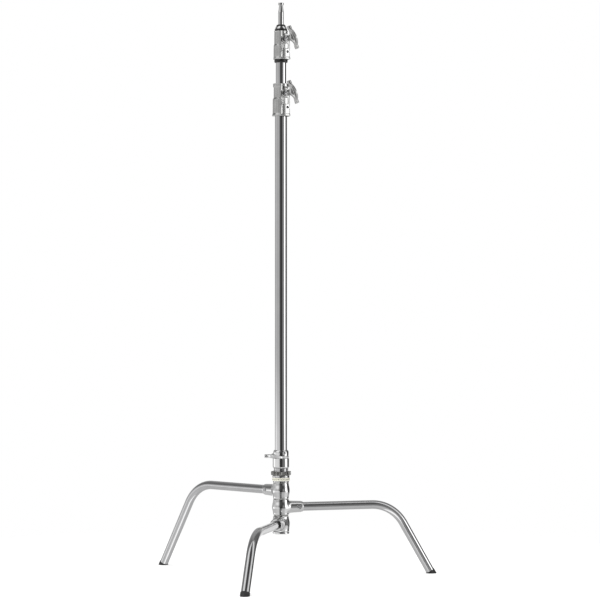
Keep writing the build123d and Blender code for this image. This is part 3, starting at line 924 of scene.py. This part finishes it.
def pinch_field(prefix):
    """Set screw with a rounded rim and a hexagon socket."""
    notch = span(f"{prefix}_collar")[0] + COLLARS[prefix]["notch"]
    start = radius(TUBE_OF[prefix])

    def field(p):
        shank = rod_distance(p, (start, PINCH_Y, notch), (PINCH_END, PINCH_Y, notch), 2.45, 2.45, 0.4)
        off = np.stack([p[..., 1] - PINCH_Y, p[..., 2] - notch], -1)
        hexagon = np.full(p.shape[:-1], -1e9)
        for turn in range(6):
            angle = math.pi / 3 * turn
            hexagon = np.maximum(hexagon, off @ np.array((math.cos(angle), math.sin(angle))))
        return cut(shank, np.maximum(hexagon - 1.3, PINCH_END - 2.5 - p[..., 0]), 0.3)

    return field, (start, PINCH_Y - 3, notch - 3), (PINCH_END, PINCH_Y + 3, notch + 3)


HANDLE_X = 69.0  # the bar's middle, along the screw
HANDLE_HALF = 34.0
HANDLE_TILT = math.radians(24.0)


def handle_field():
    """Cast T-handle: hub flaring into a bar with bulged ends, and a webbed fin on its outer side."""
    fin_half, fin_out = 27.0, 17.4
    sweep_r = (fin_half**2 + fin_out**2) / (2 * fin_out)
    sweep_x = HANDLE_X + fin_out - sweep_r

    def field(p):
        u = np.abs(p[..., 2])
        reach = 4.9 + 1.2 * np.clip((u - 12) / 14, 0, 1) ** 2
        bow = 1.8 * np.clip(u / HANDLE_HALF, 0, 1) ** 2
        bar = common(np.hypot(p[..., 0] - HANDLE_X + bow, p[..., 1]) - reach, u - HANDLE_HALF, 1.6)
        hub = rod_distance(p, (44, 0, 0), (HANDLE_X, 0, 0), 8.1, 8.8, 0.8)
        body = join(bar, hub, 13.0)
        edge = np.hypot(p[..., 0] - sweep_x, p[..., 2]) - sweep_r
        fin = common(np.maximum(edge, HANDLE_X - 3 - p[..., 0]), np.abs(p[..., 1]) - 2.4, 1.1)
        body = join(body, fin, 2.2)
        pocket = np.maximum(edge + 3.4, HANDLE_X + 7.2 - p[..., 0])
        body = cut(body, np.maximum(pocket, 0.9 - np.abs(p[..., 1])), 0.8)
        return cut(body, rod_distance(p, (40, 0, 0), (60, 0, 0), 4.0, 4.0), 0.3)

    return field, (43, -11, -HANDLE_HALF - 1), (HANDLE_X + 18, 11, HANDLE_HALF + 1)


def make_screw(prefix, place):
    """M8 clamp screw with its thread cut, and the shoulder that the handle is pressed on to."""
    start = radius(RISER_IN[prefix]) + SHOE_BACK + FIT
    stop, shoulder_at, pin_at, around, per_pitch = 60.0, 41, 44.5, 48, 8
    rows = int((stop - start) / SCREW_PITCH * per_pitch)
    points = []
    for row in range(rows + 1):
        x = start + (stop - start) * row / rows
        fade = min(1.0, (x - start) / 1.5)
        for step in range(around):
            turn = step / around
            phase = (x / SCREW_PITCH - turn) % 1.0
            r = 4.0 - 0.62 * min(1.0, abs(phase - 0.5) * 2.4) - 0.5 * (1 - fade)
            if x > shoulder_at:
                r = 4.9 if x < pin_at else 3.9
            angle = 2 * math.pi * turn
            points.append((x, r * math.cos(angle), r * math.sin(angle)))
    faces = skin(rows + 1, around, True)
    mesh_piece(f"{prefix}_screw_threaded", f"{prefix}_clamp_screw", points, faces, place)


def make_collars():
    for prefix in ("lower", "upper"):
        place = turn_about_z(screw_azimuth(prefix))
        cast(f"{prefix}_collar_casting", f"{prefix}_collar", collar_field(prefix), 0.75, place)
        cast(f"{prefix}_pinch_screw_set", f"{prefix}_pinch_screw", pinch_field(prefix), 0.5, place)
        at_screw = place @ Matrix.Translation((0, 0, screw_level(prefix)))
        make_screw(prefix, at_screw)
        along = at_screw @ Matrix.Rotation(math.pi / 2, 4, "Y")
        low = radius(RISER_IN[prefix]) + SHOE_BACK + 1.8
        outline = rounded(hollow(4.1, 6.0, low, 29.5), 0.7, 3)
        lathe(f"{prefix}_insert_turned", f"{prefix}_thread_insert", outline, along)
        tilted = at_screw @ Matrix.Rotation(HANDLE_TILT, 4, "X")
        cast(f"{prefix}_handle_casting", f"{prefix}_t_handle", handle_field(), 0.65, tilted)


def make_top():
    inner = radius("riser_1_tube")
    low, high = span("upper_bumper_ring")
    outline = [(inner, low), (17.3, low), (18.6, low + 1.6), (19.0, low + 3.5), (19.0, high)]
    outline += [(inner, high)]
    lathe("upper_bumper_moulding", "upper_bumper_ring", rounded(outline, 0.8))
    tube = radius("riser_2_tube")
    low, high = span("cap_bumper_ring")
    lathe("cap_bumper_moulding", "cap_bumper_ring", rounded(hollow(tube, 17.9, low, high), 1.6, 6))
    low, high = span("spigot_cap")
    stud = mounts["baby_pin"]["dims"]["r_mm"]
    core, head = stud - 0.4, stud - 0.2
    dome = curve_through([(16.9, low + 0.3), (16.3, low + 3), (14.3, high)], 6)
    outline = [(tube, low), (16.6, low), *dome, (core, high), (core, high - 1), (tube, high - 1)]
    lathe("spigot_cap_dome", "spigot_cap", outline)
    low, high = span("cap_top_ring")
    outline = [(core, low), (13.7, low), (12.8, low + 3.4), (10.8, high), (core, high)]
    lathe("cap_top_moulding", "cap_top_ring", rounded(outline, 1.0, 5))
    low, high = span("spigot")
    middle, half = mounts["baby_pin"]["pos_m"][2] / MM, mounts["baby_pin"]["dims"]["length_mm"] / 2
    top, foot = middle + half, middle - half
    bottom = low + 60
    neck = [(stud, top), (7.5, top + 2.5), (6.6, top + 10), (5.9, high - 10), (5.8, high - 8)]
    outline = [(0, low), (tube - TUBE_WALL, low), (tube - TUBE_WALL, bottom)]
    outline += [(core, bottom), (core, foot), (stud, foot), *curve_through(neck, 6)]
    outline += [(6.1, high - 7.2), (7.4, high - 6.6), (head, high - 6), (head, high - 1.1)]
    outline += [(head - 0.3, high - 0.4), (head - 1.1, high), (0, high)]
    lathe("spigot_turned", "spigot", outline)


def dress_hidden_nodes():
    """CAD nodes that show as they are get their slot's material."""
    for node, obj in frame["nodes"].items():
        obj.data.materials.clear()
        obj.data.materials.append(MATERIALS[SLOT_OF[node]])


# --- studio ---

VIEW_AZIMUTH = math.radians(14.0)  # from -Y towards +X
VIEW_DISTANCE = 6.5  # metres from the column
VIEW_HEIGHT = 0.797
LENS = 137.6
AIM_RIGHT = math.radians(0.4745)
AIM_DOWN = math.radians(0.066)


def make_camera():
    data = bpy.data.cameras.new("camera")
    data.lens = LENS
    data.sensor_width = 36.0
    camera = bpy.data.objects.new("camera", data)
    bpy.context.scene.collection.objects.link(camera)
    side, back = math.sin(VIEW_AZIMUTH), math.cos(VIEW_AZIMUTH)
    camera.location = (VIEW_DISTANCE * side, -VIEW_DISTANCE * back, VIEW_HEIGHT)
    camera.rotation_euler = (math.pi / 2 - AIM_DOWN, 0, VIEW_AZIMUTH - AIM_RIGHT)
    bpy.context.scene.camera = camera


def make_floor():
    """White disc that fades out into the backdrop before its rim."""
    reach, steps = 1.9, 96
    fade_from, fade_to = 0.7, 1.5
    angles = [2 * math.pi * step / steps for step in range(steps)]
    points = [(reach * math.cos(angle), reach * math.sin(angle), 0) for angle in angles]
    mesh = bpy.data.meshes.new("floor")
    mesh.from_pydata(points, [], [tuple(range(steps))])
    floor = bpy.data.objects.new("floor", mesh)
    bpy.context.scene.collection.objects.link(floor)
    floor.visible_glossy = False
    material, shader = new_material("floor", (0.5, 0.5, 0.5), 0.0, 0.9)
    shader.inputs["Specular IOR Level"].default_value = 0.0
    shader.inputs["Emission Color"].default_value = (1.0, 1.0, 1.0, 1.0)
    shader.inputs["Emission Strength"].default_value = 0.5
    where = add_node(material, "ShaderNodeTexCoord")
    away = add_node(material, "ShaderNodeVectorMath")
    away.operation = "LENGTH"
    feed(material, away.inputs[0], where.outputs["Object"])
    faded = smooth_range(material, away.outputs["Value"], fade_from, fade_to)
    show_mix(material, faded, shader, add_node(material, "ShaderNodeBsdfTransparent"), "Material Output")
    mesh.materials.append(material)


# The studio's brightness, as the chrome sees it. Each ring goes once round the horizon in pairs of an
# angle and a brightness: degrees from the camera's side of the stand, anticlockwise from above.
EYE_LEVEL = (
    (-180, 0.8), (-166, 0.8), (-150, 0.42), (-128, 0.42), (-100, 0.56), (-88, 0.62), (-65, 0.45),
    (-45, 0.54), (-33, 0.42), (-25, 0.26), (-15, 0.08), (-6, 0.05), (13, 0.04), (20, 0.1), (31, 0.27),
    (45, 0.23), (52, 0.2), (58, 0.4), (63, 2.4), (80, 2.4), (87, 0.5), (96, 0.2), (106, 0.1),
    (114, 0.02), (138, 0.02), (147, 0.8), (180, 0.8),
)
LOW_LEVEL = (
    (-180, 0.8), (-166, 0.8), (-150, 0.3), (-128, 0.4), (-116, 1.2), (-98, 1.2), (-90, 0.8),
    (-58, 0.78), (-30, 0.72), (-21, 0.6), (-14, 0.02), (8, 0.02), (22, 0.12), (56, 0.22), (66, 1.4),
    (90, 1.4), (98, 0.2), (110, 0.02), (136, 0.02), (144, 0.8), (180, 0.8),
)
OVERHEAD = (
    (-180, 0.36), (-150, 0.3), (-112, 0.15), (-90, 0.17), (-78, 0.9), (-40, 0.9), (-15, 0.08),
    (30, 0.05), (50, 0.14), (64, 0.9), (84, 0.9), (94, 0.2), (106, 0.15), (134, 0.14), (148, 0.36),
    (180, 0.36),
)
FLOOR_LEVEL = (
    (-180, 0.5), (-75, 0.55), (-40, 0.62), (-20, 0.5), (-12, 0.16), (6, 0.16), (14, 0.46), (30, 0.5),
    (48, 0.5), (60, 0.74), (92, 0.74), (110, 0.5), (180, 0.5),
)
UNDERFOOT = (
    (-180, 0.5), (-75, 0.6), (-30, 0.66), (-14, 1.35), (8, 1.35), (20, 0.65), (60, 0.55), (180, 0.5),
)
# Which ring takes over from eye level, between which heights of a direction (1 is straight up).
RINGS = (
    (LOW_LEVEL, -0.02, -0.07), (FLOOR_LEVEL, -0.2, -0.29), (UNDERFOOT, -0.5, -0.58),
    (OVERHEAD, 0.14, 0.34),
)
STRENGTH = 1.34


def make_world():
    world = bpy.data.worlds.new("studio")
    bpy.context.scene.world = world
    world.use_nodes = True
    shade = world.node_tree.nodes["Background"]
    shade.inputs["Strength"].default_value = STRENGTH
    front = -math.pi / 2 + VIEW_AZIMUTH
    around, height = about_z(world, "Generated")
    turned_by = math_node(world, "SUBTRACT", around, front - math.pi)
    share = math_node(world, "FRACT", math_node(world, "DIVIDE", turned_by, 2 * math.pi))
    seen = ring_ramp(world, share, EYE_LEVEL)
    for stops, start, full in RINGS:
        spread = smooth_range(world, height, start, full)
        seen = mixed(world, spread, seen, ring_ramp(world, share, stops))
    feed(world, shade.inputs["Color"], seen)
    backdrop = add_node(world, "ShaderNodeBackground", Color=(1.0, 1.0, 1.0, 1.0))
    path = add_node(world, "ShaderNodeLightPath")
    show_mix(world, path.outputs["Is Camera Ray"], shade, backdrop, "World Output")


def ring_ramp(world, share, stops):
    """Colour ramp once round the horizon."""
    ramp = add_node(world, "ShaderNodeValToRGB")
    elements = ramp.color_ramp.elements
    elements.remove(elements[-1])
    for index, (angle, value) in enumerate(stops):
        place = (angle + 180) / 360
        element = elements[0] if index == 0 else elements.new(place)
        element.position = place
        element.color = (value, value, value, 1.0)
    feed(world, ramp.inputs["Fac"], share)
    return ramp.outputs["Color"]


def make_lights():
    """Wide soft overhead light that evens the floor, unseen in the chrome."""
    data = bpy.data.lights.new("overhead", "SUN")
    data.energy = 3.2
    data.angle = math.radians(70)
    light = bpy.data.objects.new("overhead", data)
    light.rotation_euler = (math.radians(12), math.radians(-8), 0)
    light.visible_glossy = False
    bpy.context.scene.collection.objects.link(light)


make_camera()
make_floor()
make_world()
make_lights()
bpy.context.scene.view_settings.view_transform = "Standard"
dress_hidden_nodes()
make_legs()
make_base_stack()
make_clamps()
make_tubes()
make_collars()
make_top()
